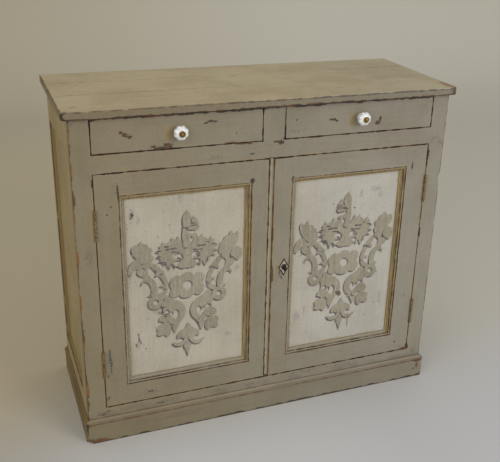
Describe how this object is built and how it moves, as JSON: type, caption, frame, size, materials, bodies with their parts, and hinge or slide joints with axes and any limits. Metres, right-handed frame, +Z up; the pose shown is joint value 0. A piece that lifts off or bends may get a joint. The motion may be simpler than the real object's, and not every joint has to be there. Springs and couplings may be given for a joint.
{
  "type": "jelly cupboard",
  "caption": "Painted low wooden cupboard with two dovetailed drawers over two framed, panelled doors, a plank top and a mitred plinth.",
  "frame": {"origin": "on the floor, at the centre of the bounding box's underside (the box includes the drawer knobs)", "axes": "+Z up; the drawers and doors face -Y; +X is to the right of someone who faces them"},
  "size_m": [1.072, 0.444, 0.938],
  "materials": {
    "grey_paint": "grey-beige chalky paint on pine, rubbed through at the edges",
    "top_paint": "grey-beige paint with a waxed, yellower bloom",
    "moulding_paint": "grey-beige paint with brown wax in the hollows",
    "cream_paint": "cream paint with fine scuffs",
    "bare_pine": "bare pine",
    "white_ceramic": "glazed",
    "brass": "aged",
    "hinge_steel": "painted over and worn brown",
    "lock_steel": "aged"
  },
  "bodies": {
    "carcass": {"back_boards": "bare_pine", "board_bearers": "bare_pine", "bolt_keep": "brass", "bottom_rail": "grey_paint", "drawer_guides": "bare_pine", "drawer_muntin": "grey_paint", "drawer_runners": "bare_pine", "floor_board": "bare_pine", "frame_hinge_leaves": "hinge_steel", "front_stile_left": "grey_paint", "front_stile_right": "grey_paint", "hinge_pins": "hinge_steel", "middle_rail": "grey_paint", "plinth_front": "grey_paint", "plinth_left": "grey_paint", "plinth_right": "grey_paint", "shelf": "bare_pine", "side_left_back_stile": "grey_paint", "side_left_front_stile": "grey_paint", "side_left_panel": "grey_paint", "side_left_rails": "grey_paint", "side_right_back_stile": "grey_paint", "side_right_front_stile": "grey_paint", "side_right_panel": "grey_paint", "side_right_rails": "grey_paint", "top_bearers": "bare_pine", "top_plank_back": "top_paint", "top_plank_front": "top_paint", "top_plank_middle": "top_paint", "top_rail": "bare_pine"},
    "door_bolt": {"door_bolt": "brass"},
    "left_door": {"door_bolt_plate": "brass", "left_door_hinge_leaves": "hinge_steel", "left_door_hinge_stile": "grey_paint", "left_door_meeting_stile": "grey_paint", "left_door_moulding": "moulding_paint", "left_door_panel": "cream_paint", "left_door_rails": "grey_paint", "lock_keep": "lock_steel"},
    "right_door": {"escutcheon": "lock_steel", "lock_case": "lock_steel", "right_door_hinge_leaves": "hinge_steel", "right_door_hinge_stile": "grey_paint", "right_door_meeting_stile": "grey_paint", "right_door_moulding": "moulding_paint", "right_door_panel": "cream_paint", "right_door_rails": "grey_paint"},
    "left_drawer": {"left_drawer_back": "bare_pine", "left_drawer_bottom": "bare_pine", "left_drawer_front": "grey_paint", "left_drawer_sides": "bare_pine", "left_knob": "white_ceramic", "left_knob_bolt": "brass"},
    "lock_bolt": {"lock_bolt": "lock_steel"},
    "right_drawer": {"right_drawer_back": "bare_pine", "right_drawer_bottom": "bare_pine", "right_drawer_front": "grey_paint", "right_drawer_sides": "bare_pine", "right_knob": "white_ceramic", "right_knob_bolt": "brass"}
  },
  "joints": [
    {"name": "left_drawer_slide", "type": "slide", "parent": "carcass", "child": "left_drawer", "axis": [0, -1, 0], "range_m": [0, 0.27]},
    {"name": "right_drawer_slide", "type": "slide", "parent": "carcass", "child": "right_drawer", "axis": [0, -1, 0], "range_m": [0, 0.27]},
    {"name": "left_door_hinge", "type": "hinge", "parent": "carcass", "child": "left_door", "pos_m": [-0.47, -0.1896, 0.444], "axis": [0, 0, -1], "range_deg": [0, 175]},
    {"name": "right_door_hinge", "type": "hinge", "parent": "carcass", "child": "right_door", "pos_m": [0.47, -0.1896, 0.444], "axis": [0, 0, 1], "range_deg": [0, 175]},
    {"name": "lock_bolt_slide", "type": "slide", "parent": "right_door", "child": "lock_bolt", "axis": [-1, 0, 0], "range_m": [0, 0.012]},
    {"name": "door_bolt_slide", "type": "slide", "parent": "left_door", "child": "door_bolt", "axis": [0, 0, 1], "range_m": [0, 0.014]}
  ]
}
